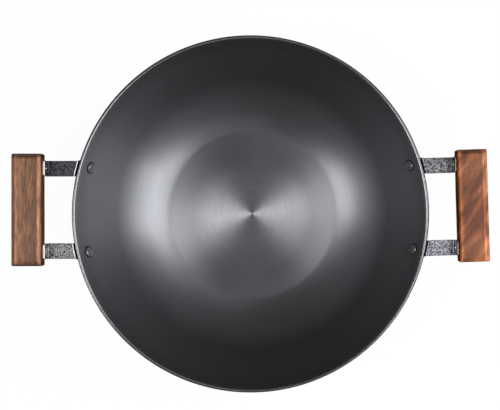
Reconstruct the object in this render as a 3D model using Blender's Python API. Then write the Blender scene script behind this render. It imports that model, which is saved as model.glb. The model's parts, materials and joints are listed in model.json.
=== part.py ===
"""Wok of hard-anodised aluminium, with a wooden grip on two riveted steel straps at each side.

Metres, +Z up. The origin is the middle of the base, on the surface that the wok stands on. +X points
along the handles and -Y is the front.
"""

import math

import bmesh
import bpy
from mathutils import Matrix

# Bowl, spun from one sheet
RIM_RADIUS = 0.170  # outside, at the rim
WALL_GAUGE = 0.0035
BASE_RADIUS = 0.084  # of the flat that it stands on
KNUCKLE_RADIUS = 0.053  # inside radius of the curve between the base and the wall
WALL_SLOPE = math.radians(60)  # from the horizontal
RIM_ROUND = 0.0015  # radius on the rim's outer edge

# Straps, flat steel folded down the wall at one end and up the grip at the other
STRAP_WIDTH = 0.015
STRAP_GAUGE = 0.0022
STRAP_DROP = 0.001  # from the rim down to the strap's upper face
STRAP_END = 0.009  # from a rivet's axis to the strap's end
STRAP_CORNER = 0.003  # radius of the strap's corners
STRAP_EDGE = 0.0004  # rounding of the edges left by the shears
FOLD_RADIUS = 0.004  # outside radius of the fold down the wall
RISE_RADIUS = 0.001  # inside radius of the fold up the grip

# Grips
FINGER_GAP = 0.0255  # from the rim out to the grip
GRIP_LENGTH = 0.106
GRIP_WIDTH = 0.0285
GRIP_HEIGHT = 0.0245
GRIP_OVERHANG = 0.0063  # of the grip's end past the strap
GRIP_RISE = 0.0062  # of the grip's top above the strap's upturned end
LONG_CHAMFER = 0.0037
END_CHAMFER = 0.0043
CORNER_CHAMFER = 0.0011
GRIP_SOFTENING = 0.0005  # sanding of the chamfers' own edges

# Each handle is set by hand: how far it sits off the bowl's middle line, and how far it is turned
LEFT_HANDLE_SHIFT = 0.0038
RIGHT_HANDLE_SHIFT = 0.0016
RIGHT_HANDLE_TURN = math.radians(1.7)

# Rivets
RIVET_DROP = 0.0128  # from the rim down to a head's middle
RIVET_RADIUS = 0.003
RIVET_HEAD_RADIUS = 0.0058
RIVET_HEAD_HEIGHT = 0.0022
RIVET_TAIL_RADIUS = 0.0048
RIVET_TAIL_HEIGHT = 0.0018
RIVET_EDGE = 0.0005  # height of the straight edge round head and tail

# Countersunk wood screws
SCREW_RADIUS = 0.002
SCREW_HEAD_RADIUS = 0.0037
SCREW_HEAD_EDGE = 0.0003  # height of the straight edge round the head
SCREW_LENGTH = 0.020
SCREW_POINT = 0.005  # length of the tapered end
DRIVE_REACH = 0.0038  # across the cross recess
DRIVE_WIDTH = 0.0008  # of each slot of the recess
DRIVE_DEPTH = 0.0014
DRIVE_TAPER = 0.5  # width at the recess's bottom, as a share of its mouth

CLEARANCE = 0.0003  # between pieces that touch
CUTTER_PASS = 0.004  # of a cutter past what it cuts

# Facets
BOWL_STEPS = 96
KNUCKLE_STEPS = 9
RIM_STEPS = 4
FOLD_STEPS = 5
STRAP_COLUMNS = 3
CORNER_STEPS = 3
RIVET_STEPS = 24
DOME_STEPS = 4
SCREW_STEPS = 20
HOLE_STEPS = 20
WELD = 1e-6  # points this close are one
SHARP = math.radians(35)  # an edge that turns further is left sharp
SHEARED = math.radians(60)  # a strap's edge that turns further is rounded
CHAMFERED = math.radians(20)  # a grip's edge that turns further is sanded

# The cone of the wall's outer face, as (radius, height) in the plane through the bowl's axis
WALL_OUT = (math.sin(WALL_SLOPE), -math.cos(WALL_SLOPE))  # square to the wall, outwards
WALL_DOWN = (-math.cos(WALL_SLOPE), -math.sin(WALL_SLOPE))  # along the wall, downwards
KNUCKLE_HEIGHT = WALL_GAUGE + KNUCKLE_RADIUS  # of the curve's centre, which stands over the base's edge
RIM_CORNER_RADIUS = RIM_RADIUS + RIM_ROUND * (1 / math.tan(WALL_SLOPE / 2) - 1)  # before rounding
KNUCKLE_END_RADIUS = BASE_RADIUS + KNUCKLE_HEIGHT * WALL_OUT[0]
RIM_HEIGHT = (
    KNUCKLE_HEIGHT * (1 + WALL_OUT[1])
    + (RIM_CORNER_RADIUS - KNUCKLE_END_RADIUS) * math.tan(WALL_SLOPE)
)
RIM_INNER_RADIUS = RIM_CORNER_RADIUS - WALL_GAUGE / math.sin(WALL_SLOPE)

# The strap's upper face, which is also the face that lies on the wall and faces the bowl on the grip
STRAP_TOP = RIM_HEIGHT - STRAP_DROP
FOLD_START = RIM_CORNER_RADIUS + (
    (CLEARANCE + FOLD_RADIUS + (STRAP_DROP + FOLD_RADIUS) * WALL_OUT[1]) / math.sin(WALL_SLOPE)
)
GRIP_REACH = RIM_RADIUS + FINGER_GAP
RISE_FACE = GRIP_REACH - CLEARANCE - STRAP_GAUGE
RISE_START = RISE_FACE - RISE_RADIUS
RISE_HEIGHT = GRIP_HEIGHT - GRIP_RISE - STRAP_GAUGE
STRAP_SPACING = GRIP_LENGTH - 2 * GRIP_OVERHANG - STRAP_WIDTH
GRIP_MIDDLE = STRAP_TOP - STRAP_GAUGE + GRIP_HEIGHT / 2

# The rivet's origin is on the wall's inner face, and its developed distance is measured along the strap
RIVET_STACK = WALL_GAUGE + CLEARANCE + STRAP_GAUGE
RIVET_SEAT_RADIUS = RIM_INNER_RADIUS - RIVET_DROP / math.tan(WALL_SLOPE)
RIVET_SEAT_HEIGHT = RIM_HEIGHT - RIVET_DROP
RIVET_LENGTH_ON_STRAP = FOLD_RADIUS * WALL_SLOPE + (
    (RIVET_SEAT_RADIUS - FOLD_START) * WALL_DOWN[0]
    + (RIVET_SEAT_HEIGHT - STRAP_TOP + FOLD_RADIUS) * WALL_DOWN[1]
)


def clear_scene():
    """Empties the file of whatever objects it opened with."""
    for item in list(bpy.data.objects):
        bpy.data.objects.remove(item, do_unlink=True)


def make_material(name, colour, metallic, roughness):
    """A Principled material of one linear colour."""
    material = bpy.data.materials.new(name)
    material.use_nodes = True
    shader = material.node_tree.nodes["Principled BSDF"]
    shader.inputs["Base Color"].default_value = (*colour, 1)
    shader.inputs["Metallic"].default_value = metallic
    shader.inputs["Roughness"].default_value = roughness
    material.diffuse_color = (*colour, 1)
    return material


def finish_mesh(name, shape):
    """The bmesh as a mesh, smooth but for its sharp edges."""
    mesh = bpy.data.meshes.new(name)
    shape.to_mesh(mesh)
    shape.free()
    mesh.shade_smooth()
    mesh.set_sharp_from_angle(angle=SHARP)
    return mesh


def place(name, mesh, material, parent=None, matrix=None):
    """A visible piece of the wok."""
    piece = bpy.data.objects.new(name, mesh)
    bpy.context.scene.collection.objects.link(piece)
    piece.parent = parent
    piece.matrix_local = matrix or Matrix.Identity(4)
    if not mesh.materials:
        mesh.materials.append(material)
    return piece


def place_cutter(name, mesh, parent=None, matrix=None):
    """A hidden solid that holes are cut with."""
    cutter = bpy.data.objects.new(name, mesh)
    bpy.context.scene.collection.objects.link(cutter)
    cutter.parent = parent
    cutter.matrix_local = matrix or Matrix.Identity(4)
    cutter.display_type = "WIRE"
    cutter.hide_render = True
    return cutter


def cut(piece, cutter):
    """Takes the cutter's shape out of the piece."""
    hole = piece.modifiers.new(cutter.name, "BOOLEAN")
    hole.operation = "DIFFERENCE"
    hole.solver = "EXACT"
    hole.object = cutter


def turned_mesh(name, profile, steps):
    """Turns a profile of (radius, height) points, which starts and ends on the axis, round +Z."""
    shape = bmesh.new()
    points = [shape.verts.new((radius, 0, height)) for radius, height in profile]
    sides = [shape.edges.new(pair) for pair in zip(points, points[1:])]
    bmesh.ops.spin(
        shape, geom=points + sides, axis=(0, 0, 1), cent=(0, 0, 0), angle=math.tau, steps=steps
    )
    bmesh.ops.remove_doubles(shape, verts=shape.verts, dist=WELD)
    bmesh.ops.recalc_face_normals(shape, faces=shape.faces)
    return finish_mesh(name, shape)


def arc(centre, radius, start, end, steps):
    """Points on a circle, with angles measured from +X towards +Z."""
    angles = (start + (end - start) * step / steps for step in range(steps + 1))
    return [
        (centre[0] + radius * math.cos(angle), centre[1] + radius * math.sin(angle)) for angle in angles
    ]


def dome(radius, height):
    """A shallow cap from its top on the axis down to its edge at height 0."""
    ball = (radius**2 + height**2) / (2 * height)
    half = math.asin(radius / ball)
    points = arc((0, height - ball), ball, math.pi / 2, math.pi / 2 - half, DOME_STEPS)
    return [(0, height)] + points[1:]


def bend(length, radius, angle):
    """How far on and aside a path gets that turns through the angle first and then runs straight."""
    turned = min(length / radius, angle)
    straight = length - turned * radius
    on = radius * math.sin(turned) + straight * math.cos(angle)
    aside = radius * (1 - math.cos(turned)) + straight * math.sin(angle)
    return on, aside


def bowl_profile():
    """From the middle of the inner base up to the rim and down the outer side to the middle."""
    knuckle = (BASE_RADIUS, KNUCKLE_HEIGHT)
    down = -math.pi / 2
    inside = arc(knuckle, KNUCKLE_RADIUS, down, down + WALL_SLOPE, KNUCKLE_STEPS)
    outside = arc(knuckle, KNUCKLE_HEIGHT, down + WALL_SLOPE, down, KNUCKLE_STEPS)
    round_centre = (RIM_RADIUS - RIM_ROUND, RIM_HEIGHT - RIM_ROUND)
    rim = arc(round_centre, RIM_ROUND, math.pi / 2, down + WALL_SLOPE, RIM_STEPS)
    return (
        [(0, WALL_GAUGE)] + inside + [(RIM_INNER_RADIUS, RIM_HEIGHT)] + rim + outside + [(0, 0)]
    )


def make_bowl(material):
    """The spun bowl, before its rivet holes."""
    return place("bowl", turned_mesh("bowl", bowl_profile(), BOWL_STEPS), material)


def strap_column(offset):
    """Points along the strap's upper face, this far off the handle's line through the bowl's axis.

    Past the fold a point keeps its bearing from the bowl's axis and its distance along the strap,
    so that the riveted end is wrapped on the wall's cone and the fold follows the rim.
    """
    fold = FOLD_RADIUS * WALL_SLOPE
    rise = RISE_RADIUS * math.pi / 2
    steps = range(FOLD_STEPS + 1)
    points = []
    for length in [RIVET_LENGTH_ON_STRAP + STRAP_END] + [fold * (1 - step / FOLD_STEPS) for step in steps]:
        bearing = math.asin(offset / (FOLD_START - length))
        on, down = bend(length, FOLD_RADIUS, WALL_SLOPE)
        radius = FOLD_START - on
        points.append((radius * math.cos(bearing), radius * math.sin(bearing), STRAP_TOP - down))
    for length in [rise * step / FOLD_STEPS for step in steps] + [rise + RISE_HEIGHT - RISE_RADIUS]:
        on, up = bend(length, RISE_RADIUS, math.pi / 2)
        points.append((RISE_START + on, offset, STRAP_TOP + up))
    return points


def strap_mesh(name, line):
    """The strap's upper face as a sheet, round at its corners, with its middle on the line."""
    shape = bmesh.new()
    columns = []
    for step in range(STRAP_COLUMNS + 1):
        offset = line + STRAP_WIDTH * (step / STRAP_COLUMNS - 0.5)
        columns.append([shape.verts.new(point) for point in strap_column(offset)])
    for near, far in zip(columns, columns[1:]):
        for row in range(len(near) - 1):
            shape.faces.new((near[row], near[row + 1], far[row + 1], far[row]))
    corners = [column[end] for column in (columns[0], columns[-1]) for end in (0, -1)]
    bmesh.ops.bevel(
        shape,
        geom=corners,
        offset=STRAP_CORNER,
        offset_type="OFFSET",
        segments=CORNER_STEPS,
        profile=0.5,
        affect="VERTICES",
    )
    return finish_mesh(name, shape)


def make_strap(name, line, handle, material):
    """One strap, given its thickness below and outside the sheet, before its holes."""
    strap = place(name, strap_mesh(name, line), material, handle)
    gauge = strap.modifiers.new("gauge", "SOLIDIFY")
    gauge.thickness = STRAP_GAUGE
    gauge.offset = -1
    gauge.use_even_offset = True
    edges = strap.modifiers.new("edges", "BEVEL")
    edges.width = STRAP_EDGE
    edges.segments = 2
    edges.limit_method = "ANGLE"
    edges.angle_limit = SHEARED
    edges.harden_normals = True
    return strap


def grip_mesh():
    """A block whose edges carry the share of the widest chamfer that each one gets."""
    shape = bmesh.new()
    bmesh.ops.create_cube(shape, size=1, matrix=Matrix.Diagonal((GRIP_WIDTH, GRIP_LENGTH, GRIP_HEIGHT, 1)))
    share = shape.edges.layers.float.new("bevel_weight_edge")
    widest = max(LONG_CHAMFER, END_CHAMFER, CORNER_CHAMFER)
    chamfers = (END_CHAMFER, LONG_CHAMFER, CORNER_CHAMFER)
    for edge in shape.edges:
        run = edge.verts[1].co - edge.verts[0].co
        axis = max(range(3), key=lambda index: abs(run[index]))
        edge[share] = chamfers[axis] / widest
    mesh = bpy.data.meshes.new("grip")
    shape.to_mesh(mesh)
    shape.free()
    return mesh


def make_grip(name, line, handle, material):
    """One wooden grip, chamfered and sanded, before its pilot holes."""
    middle = Matrix.Translation((GRIP_REACH + GRIP_WIDTH / 2, line, GRIP_MIDDLE))
    grip = place(name, grip_mesh(), material, handle, middle)
    chamfer = grip.modifiers.new("chamfers", "BEVEL")
    chamfer.width = max(LONG_CHAMFER, END_CHAMFER, CORNER_CHAMFER)
    chamfer.segments = 1
    chamfer.limit_method = "WEIGHT"
    soften = grip.modifiers.new("sanding", "BEVEL")
    soften.width = GRIP_SOFTENING
    soften.segments = 2
    soften.limit_method = "ANGLE"
    soften.angle_limit = CHAMFERED
    return grip


def rivet_place(line):
    """The rivet's axis square to the wall, on the strap's line, with its origin on the inner face."""
    bearing = math.asin(line / (FOLD_START - RIVET_LENGTH_ON_STRAP))
    return (
        Matrix.Rotation(bearing, 4, "Z")
        @ Matrix.Translation((RIVET_SEAT_RADIUS, 0, RIVET_SEAT_HEIGHT))
        @ Matrix.Rotation(-WALL_SLOPE, 4, "Y")
    )


def rivet_mesh():
    """Domed head inside the bowl, shank through wall and strap, and formed tail outside."""
    seat = CLEARANCE
    tail = -RIVET_STACK - CLEARANCE
    head_dome = dome(RIVET_HEAD_RADIUS, RIVET_HEAD_HEIGHT - RIVET_EDGE)
    tail_dome = dome(RIVET_TAIL_RADIUS, RIVET_TAIL_HEIGHT - RIVET_EDGE)
    profile = [(radius, seat + RIVET_EDGE + height) for radius, height in head_dome]
    profile += [(RIVET_HEAD_RADIUS, seat), (RIVET_RADIUS, seat)]
    profile += [(RIVET_RADIUS, tail), (RIVET_TAIL_RADIUS, tail)]
    profile += [(radius, tail - RIVET_EDGE - height) for radius, height in reversed(tail_dome)]
    return turned_mesh("rivet", profile, RIVET_STEPS)


def rivet_hole_mesh():
    """Cutter for the rivet's hole through the wall and the strap."""
    radius = RIVET_RADIUS + CLEARANCE
    foot = -RIVET_STACK - CUTTER_PASS
    profile = [(0, CUTTER_PASS), (radius, CUTTER_PASS), (radius, foot), (0, foot)]
    return turned_mesh("rivet_hole", profile, HOLE_STEPS)


def screw_place(line):
    """The screw's head flush with the upturned end's face, its point towards the grip."""
    height = STRAP_TOP + (RISE_RADIUS + RISE_HEIGHT) / 2
    return Matrix.Translation((RISE_FACE, line, height)) @ Matrix.Rotation(-math.pi / 2, 4, "Y")


def screw_profile(top, around):
    """From the top on the axis down to the point, with this much added all round."""
    taper = SCREW_HEAD_EDGE + SCREW_HEAD_RADIUS - SCREW_RADIUS
    return [
        (0, top),
        (SCREW_HEAD_RADIUS + around, top),
        (SCREW_HEAD_RADIUS + around, -SCREW_HEAD_EDGE),
        (SCREW_RADIUS + around, -taper),
        (SCREW_RADIUS + around, SCREW_POINT - SCREW_LENGTH),
        (0, -SCREW_LENGTH - around),
    ]


def cross_mesh():
    """Cutter for the cross recess: two crossed slots, drawn in towards the bottom."""
    shape = bmesh.new()
    wide = DRIVE_REACH / 2
    thin = DRIVE_WIDTH / 2
    quarter = [(wide, -thin), (wide, thin), (thin, thin)]
    outline = [
        shape.verts.new((x * math.cos(turn) - y * math.sin(turn), x * math.sin(turn) + y * math.cos(turn), 0))
        for turn in (math.pi / 2 * step for step in range(4))
        for x, y in quarter
    ]
    mouth = shape.faces.new(outline)
    bottom = bmesh.ops.extrude_face_region(shape, geom=[mouth])["geom"]
    floor = [item for item in bottom if isinstance(item, bmesh.types.BMVert)]
    bmesh.ops.translate(shape, verts=floor, vec=(0, 0, -DRIVE_DEPTH))
    bmesh.ops.scale(shape, verts=floor, vec=(DRIVE_TAPER, DRIVE_TAPER, 1))
    bmesh.ops.translate(shape, verts=outline, vec=(0, 0, DRIVE_DEPTH))
    bmesh.ops.recalc_face_normals(shape, faces=shape.faces)
    return finish_mesh("cross_recess", shape)


def make_screw(name, line, handle, material):
    """One wood screw with its cross recess."""
    mesh = turned_mesh("screw", screw_profile(0, 0), SCREW_STEPS)
    screw = place(name, mesh, material, handle, screw_place(line))
    cut(screw, place_cutter(name + "_recess", cross_mesh(), screw))
    return screw


def make_handle(side, turn, shift, bowl, finishes):
    """The grip, straps, rivets and screws of one side, on an empty at the bowl's axis."""
    handle = bpy.data.objects.new(side + "_handle", None)
    bpy.context.scene.collection.objects.link(handle)
    handle.rotation_euler.z = turn
    facing = math.copysign(1, math.cos(turn))
    grip = make_grip("grip_" + side, facing * shift, handle, finishes["grip_" + side])
    for end, towards in (("front", -1), ("rear", 1)):
        name = side + "_" + end
        line = facing * (shift + towards * STRAP_SPACING / 2)
        strap = make_strap("strap_" + name, line, handle, finishes["strap"])
        place("rivet_" + name, rivet_mesh(), finishes["rivet"], handle, rivet_place(line))
        make_screw("screw_" + name, line, handle, finishes["screw"])
        rivet_hole = place_cutter("rivet_hole_" + name, rivet_hole_mesh(), handle, rivet_place(line))
        hole_shape = turned_mesh("screw_hole", screw_profile(CUTTER_PASS, CLEARANCE), SCREW_STEPS)
        screw_hole = place_cutter("screw_hole_" + name, hole_shape, handle, screw_place(line))
        cut(bowl, rivet_hole)
        cut(strap, rivet_hole)
        cut(strap, screw_hole)
        cut(grip, screw_hole)


def main():
    clear_scene()
    finishes = {
        "bowl": make_material("hard_anodised_aluminium", (0.085, 0.087, 0.09), 0.9, 0.35),
        "strap": make_material("galvanised_steel", (0.42, 0.43, 0.45), 1.0, 0.4),
        "rivet": make_material("anodised_rivet", (0.10, 0.10, 0.105), 0.9, 0.3),
        "screw": make_material("zinc_plated_steel", (0.5, 0.5, 0.5), 1.0, 0.3),
        "grip_left": make_material("acacia_straight_grain", (0.26, 0.13, 0.08), 0.0, 0.45),
        "grip_right": make_material("acacia_figured_grain", (0.26, 0.11, 0.06), 0.0, 0.4),
    }
    bowl = make_bowl(finishes["bowl"])
    make_handle("left", math.pi, LEFT_HANDLE_SHIFT, bowl, finishes)
    make_handle("right", RIGHT_HANDLE_TURN, RIGHT_HANDLE_SHIFT, bowl, finishes)


main()
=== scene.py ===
"""Looks of a hard-anodised wok with two wooden side grips, on a plain pale studio floor.

Metres, +Z up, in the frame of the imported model: +X along the handles, -Y to the front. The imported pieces
give the places, and each visible piece is modelled again here with its finish.
"""

import json
import math
from contextlib import contextmanager
from functools import partial

import bmesh
import bpy
from mathutils import Matrix, Vector

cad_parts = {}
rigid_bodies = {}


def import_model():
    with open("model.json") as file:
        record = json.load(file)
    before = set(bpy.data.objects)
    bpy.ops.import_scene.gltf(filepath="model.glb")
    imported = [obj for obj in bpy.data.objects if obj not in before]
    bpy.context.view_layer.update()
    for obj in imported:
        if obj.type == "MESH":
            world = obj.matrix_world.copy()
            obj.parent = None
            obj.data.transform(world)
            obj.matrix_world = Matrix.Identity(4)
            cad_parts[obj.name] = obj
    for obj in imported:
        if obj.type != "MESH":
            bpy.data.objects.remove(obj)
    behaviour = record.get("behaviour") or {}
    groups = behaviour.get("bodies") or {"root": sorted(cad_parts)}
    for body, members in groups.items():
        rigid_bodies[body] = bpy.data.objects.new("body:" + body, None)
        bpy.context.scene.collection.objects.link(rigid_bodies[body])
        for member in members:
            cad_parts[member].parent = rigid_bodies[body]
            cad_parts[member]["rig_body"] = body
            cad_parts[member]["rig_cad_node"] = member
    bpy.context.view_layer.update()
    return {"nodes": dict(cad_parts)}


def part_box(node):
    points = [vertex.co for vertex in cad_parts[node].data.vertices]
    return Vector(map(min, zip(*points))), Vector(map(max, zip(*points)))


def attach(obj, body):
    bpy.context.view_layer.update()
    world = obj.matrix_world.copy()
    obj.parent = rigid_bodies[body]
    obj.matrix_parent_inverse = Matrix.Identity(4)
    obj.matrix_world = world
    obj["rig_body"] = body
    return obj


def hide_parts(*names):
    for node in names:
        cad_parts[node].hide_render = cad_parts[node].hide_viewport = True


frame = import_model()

bl_info = {
    "name": "Anodised wok",
    "version": (1, 0, 0),
    "blender": (4, 5, 0),
    "location": "3D View > Sidebar > Wok",
    "description": "Models a spun, hard-anodised wok with wooden grips on riveted straps",
    "category": "Add Mesh",
}

BODY = "root"
SIDES = ("left", "right")
ENDS = ("front", "rear")
CORNERS = [side + "_" + end for side in SIDES for end in ENDS]

WELD = 1e-6  # points this close are one
START = 0.001  # size of the plane that a line is drawn from
NEAR = 0.0001  # how far a point may lie off the line or ring that it is sought on
LEVEL = 0.98  # a face whose normal rises more than this lies nearly flat
UPTURN = 0.005  # from where a strap begins to turn up to its upturned end's face
CORNER_SHADE_LEVEL = 0.06  # what the painted shade in the corner against the grip leaves of the zinc's brightness
RIGHT_HIGHLIGHT_SHARE = 0.65  # share of the right straps' thickness that gets the painted highlight at the upturned end, all at the left
RIM_SHADE_REACH = 1.5  # how far down the rim's painted shade reaches, in its roundings
SEAT_SHADED = 0.9  # share of a rivet's collar that gets the painted shade
UPWARD = 0.5  # a grip's face whose normal rises more than this has the top's gloss
SANDING_SPACING = 0.02  # between the low spots that sanding leaves
DRILL_RISE = 0.004  # how far the pilot drill stands out of the grip
PILOT_GAP = 0.0003  # all round a screw in its hole


def node_middle(node):
    """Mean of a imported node's points, which is on the axis of a turned piece."""
    points = [vertex.co for vertex in frame["nodes"][node].data.vertices]
    return sum(points, Vector()) / len(points)


def linear(hex_colour):
    """An sRGB hex colour as linear red, green, blue and alpha."""
    parts = [int(hex_colour[place:place + 2], 16) / 255 for place in (1, 3, 5)]
    return (*(part / 12.92 if part <= 0.04045 else ((part + 0.055) / 1.055) ** 2.4 for part in parts), 1.0)


RIM_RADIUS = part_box("bowl")[1].x
RIM_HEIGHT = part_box("bowl")[1].z
GRIP_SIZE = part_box("grip_left")[1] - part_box("grip_left")[0]


def length(name, description, default):
    """A length that the user can change."""
    return bpy.props.FloatProperty(
        name=name, description=description, default=default, min=0, precision=4, unit="LENGTH"
    )


def power(name, description, default):
    """A lamp's power that the user can change."""
    return bpy.props.FloatProperty(name=name, description=description, default=default, min=0, unit="POWER")


def angle(name, description, degrees):
    """An angle that the user can change."""
    return bpy.props.FloatProperty(
        name=name, description=description, default=math.radians(degrees), subtype="ANGLE"
    )


def colour(name, description, hex_colour):
    """A colour that the user can change."""
    return bpy.props.FloatVectorProperty(
        name=name, description=description, default=linear(hex_colour), size=4, min=0, max=1,
        subtype="COLOR",
    )


class BowlSettings(bpy.types.PropertyGroup):
    """Sizes and colours of the spun bowl."""

    gauge: length("Gauge", "Thickness of the sheet that the bowl is spun from", 0.0035)
    base_radius: length("Base radius", "Radius of the flat that the wok stands on", 0.084)
    knuckle_radius: length("Knuckle radius", "Of the outer curve from base to wall, less the gauge", 0.053)
    flat_radius: length("Flat radius", "Radius of the turned flat inside", 0.0825)
    edge_radius: length("Edge radius", "Of the tighter curve that starts at the turned flat", 0.028)
    edge_turn: angle("Edge turn", "How far the tighter curve turns up", 10)
    wall_slope: angle("Wall slope", "Of the wall from the horizontal", 60)
    rim_round: length("Rim rounding", "Radius on the rim's outer edge", 0.0015)
    rim_break: length("Rim break", "Width of the tiny chamfer on the rim's inner edge", 0.00015)
    land_fall: length("Land fall", "How much lower the rim land lies at its inner edge", 0.00025)
    ring_step: length("Ring step", "Height of a band of faces on the wall", 0.004)
    # Painted shade: the wall's darker grey below stands in for its dimmer reflections
    anodised: colour("Anodised", "Grey of the turned middle, where the oxide is thinnest", "#797A7E")
    oxide: colour("Oxide", "Dark grey of the wall, where the oxide is thickest", "#4F5053")
    land: colour("Rim land", "Brighter grey of the narrow land turned on the rim", "#6E6F72")
    # Painted shade: the rim's rounded outer edge is painted nearly black
    rounding: colour("Rim rounding", "Nearly black oxide on the rim's rounded outer edge", "#1E1F21")


class StrapSettings(bpy.types.PropertyGroup):
    """Sizes and colours of the four steel straps."""

    gauge: length("Gauge", "Thickness of the strap", 0.0022)
    grain: length("Grain", "Edge of the cells that the strap's surface is built from", 0.0003)
    dent_depth: length("Dent depth", "Depth of the low spots left in the hot-dip zinc", 0.00006)
    dent_spacing: length("Dent spacing", "Distance between low spots", 0.004)
    vein_spacing: length("Vein spacing", "Distance between the bright veins of the zinc", 0.0023)
    speck_spacing: length("Speck spacing", "Distance between the dark specks of the oxide", 0.0021)
    # The straps' greys differ partly as painted light: the rear straps, which catch less of the lamps, are
    # painted darker
    light_left_rear: colour("Light, left rear", "Crests of the left rear strap", "#3F4044")
    dark_left_rear: colour("Dark, left rear", "Specks of the left rear strap", "#090A0C")
    light_left_front: colour("Light, left front", "Crests of the left front strap", "#868686")
    dark_left_front: colour("Dark, left front", "Specks of the left front strap", "#0B0B0C")
    light_right_rear: colour("Light, right rear", "Crests of the right rear strap", "#7F7F82")
    dark_right_rear: colour("Dark, right rear", "Specks of the right rear strap", "#18181A")
    light_right_front: colour("Light, right front", "Crests of the right front strap", "#93929D")
    dark_right_front: colour("Dark, right front", "Specks of the right front strap", "#242429")
    # Painted highlight: the pale colour painted on the fold's crest beside the rim
    crest_highlight: colour("Worn crest", "Bare steel on the fold beside the rim", "#E4E6E8")
    # Painted highlight: the pale colour of the upturned end's cut top edge stands in for the light it
    # catches
    sheared: colour("Sheared end", "Pale bare edge left by the shears at the upturned end", "#EAD9CE")


class GripSettings(bpy.types.PropertyGroup):
    """Sizes and colours of the two wooden grips."""

    left_outer: length("Left outer chamfer", "On the left grip's long edges away from the bowl", 0.0033)
    left_inner: length("Left inner chamfer", "On the left grip's long edges towards the bowl", 0.0028)
    right_outer: length("Right outer chamfer", "On the right grip's long edges away from the bowl", 0.0044)
    right_inner: length("Right inner chamfer", "On the right grip's long edges towards the bowl", 0.0018)
    end_chamfer: length("End chamfer", "On the edges across the grip's ends", 0.0043)
    corner_chamfer: length("Corner chamfer", "On the four upright edges", 0.0011)
    softening: length("Softening", "Rounding that sanding gives the chamfers", 0.0006)
    face_step: length("Face step", "Spacing of the faces, for the sanding's unevenness", 0.002)
    unevenness: length("Unevenness", "Depth of the low spots that hand sanding leaves", 0.0002)
    crest_soft: length("Soft crest", "Rounding of the left grip's top along its bowl side", 0.0022)
    crest: length("Crest", "Rounding of the grips' tops along their other sides", 0.0011)
    plain_light: colour("Plain wood, light", "Early wood of the left grip", "#8E6345")
    plain_mid: colour("Plain wood, middle", "Between early and late wood of the left grip", "#7C533A")
    plain_dark: colour("Plain wood, dark", "Late wood of the left grip", "#65432F")
    plain_tint: colour("Plain wood, tint", "Greyish streaks of the left grip", "#694B3A")
    figured_light: colour("Figured wood, light", "Sapwood bands of the right grip", "#915B3A")
    figured_mid: colour("Figured wood, middle", "Red wood of the right grip", "#794327")
    figured_dark: colour("Figured wood, dark", "Heartwood bands of the right grip", "#532D1A")
    figured_tint: colour("Figured wood, tint", "Greyish streaks of the right grip", "#64402A")


class RivetSettings(bpy.types.PropertyGroup):
    """Sizes and colour of the four rivets."""

    shank_radius: length("Shank radius", "Of the rivet's shank", 0.003)
    head_radius: length("Head radius", "Of the domed head inside the bowl", 0.0058)
    head_height: length("Head height", "Of the head above its seat", 0.0022)
    tail_radius: length("Tail radius", "Of the formed tail outside", 0.0048)
    tail_height: length("Tail height", "Of the formed tail", 0.0018)
    edge: length("Edge", "Height of the straight edge round head and tail", 0.0005)
    shoulder: length("Shoulder", "Width of the head's rounded shoulder", 0.0014)
    # The collar's outer part carries the painted shade round the head
    collar: length("Collar", "Width of the flat round the head's foot, where soot collects", 0.0006)
    crown: length("Crown", "Rise of the head's nearly flat crown", 0.0003)
    drop: length("Drop", "From the rim down to a head's middle", 0.0128)
    clearance: length("Clearance", "Between pieces that touch", 0.0003)
    anodised: colour("Anodised", "Grey of the anodised rivet", "#646568")
    # Painted shade: the nearly black outline painted on the collar round the head's foot
    seat: colour("Seat", "Nearly black oxide round the foot of the head", "#17181A")


class ScrewSettings(bpy.types.PropertyGroup):
    """Sizes and colour of the four wood screws."""

    shank_radius: length("Shank radius", "Of the screw's plain shank", 0.002)
    head_radius: length("Head radius", "Of the countersunk head", 0.0037)
    head_edge: length("Head edge", "Height of the straight edge round the head", 0.0003)
    reach: length("Length", "From the head's face to the point", 0.020)
    point: length("Point", "Length of the tapered end", 0.005)
    drive_reach: length("Recess reach", "Across the cross recess", 0.0038)
    drive_width: length("Recess width", "Of each slot of the recess", 0.0008)
    drive_depth: length("Recess depth", "Of the cross recess", 0.0014)
    zinc: colour("Zinc", "Plated zinc of the screws", "#B9BCC2")


class StageSettings(bpy.types.PropertyGroup):
    """Camera, lamps and floor."""

    lens: bpy.props.FloatProperty(
        name="Lens", description="Focal length in millimetres", default=102.24, unit="CAMERA"
    )
    camera_place: bpy.props.FloatVectorProperty(
        name="Camera", description="Where the camera stands, looking straight down",
        default=(0.027, 0.003, 1.444), subtype="TRANSLATION",
    )
    camera_shift: bpy.props.FloatVectorProperty(
        name="Shift", description="Of the picture off the lens's axis, as a share of its width",
        default=(-0.0577, 0.0115), size=2,
    )
    lamp_distance: length("Lamp distance", "From the bowl's middle to each lamp", 2.6)
    right_power: power("Right lamp", "Of the large lamp on the right", 41.9)
    low_power: power("Low lamp", "Of the low strip on the right, which lights the left wall", 29.6)
    broad_power: power("Broad lamp", "Of the broad weak lamp behind the right one", 24.1)
    left_power: power("Left lamp", "Of the narrower lamp on the left", 26.4)
    room: colour("Room", "Nearly black studio round the lamps", "#0A0A0B")
    floor: colour("Floor", "White paper of the floor", "#F4F4F4")


def deselect():
    """Nothing stays selected, so that the next operator meets only what it makes."""
    if bpy.context.object and bpy.context.object.mode != "OBJECT":
        bpy.ops.object.mode_set(mode="OBJECT")
    bpy.ops.object.select_all(action="DESELECT")


def activate(piece):
    """The piece alone is selected and active."""
    deselect()
    piece.select_set(True)
    bpy.context.view_layer.objects.active = piece


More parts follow.
